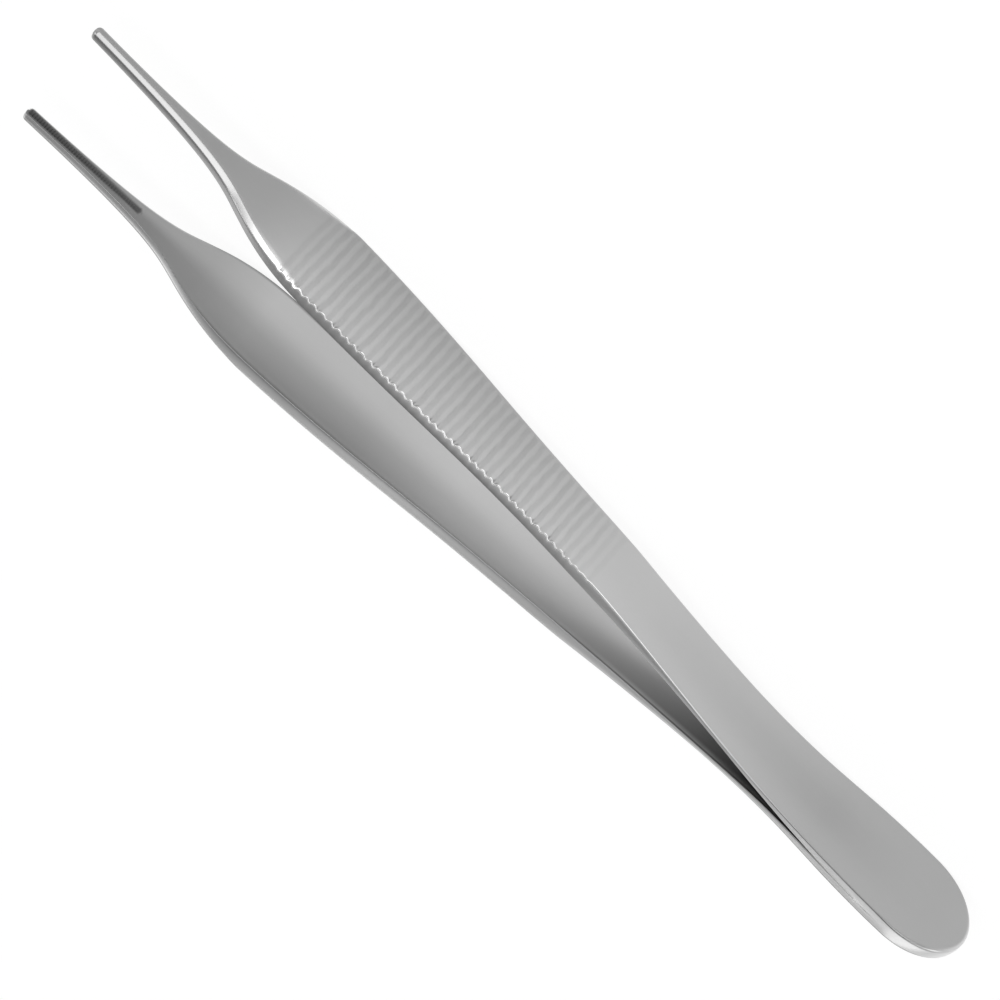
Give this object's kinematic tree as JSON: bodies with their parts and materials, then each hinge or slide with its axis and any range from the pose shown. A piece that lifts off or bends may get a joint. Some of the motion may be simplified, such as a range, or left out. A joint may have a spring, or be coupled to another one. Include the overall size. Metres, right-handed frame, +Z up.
{
  "type": "thumb forceps",
  "caption": "Slim straight thumb forceps with two bowed spring arms, grooved finger grips and fine toothed jaws.",
  "frame": {"origin": "under the middle of the instrument, on the table that its long side edges rest on", "axes": "+X from the welded butt to the tips, Y across the gap between the arms, +Z up, across the arms' width"},
  "size_m": [0.12, 0.018, 0.01],
  "materials": {
    "arm_steel": "stainless steel, satin ground along the arms, bright on the slanted shoulders",
    "weld_steel": "weld metal ground flush and satin brushed with the arms"
  },
  "bodies": {
    "root": {"front_arm": "arm_steel", "rear_arm": "arm_steel", "butt_weld": "weld_steel"}
  },
  "joints": []
}
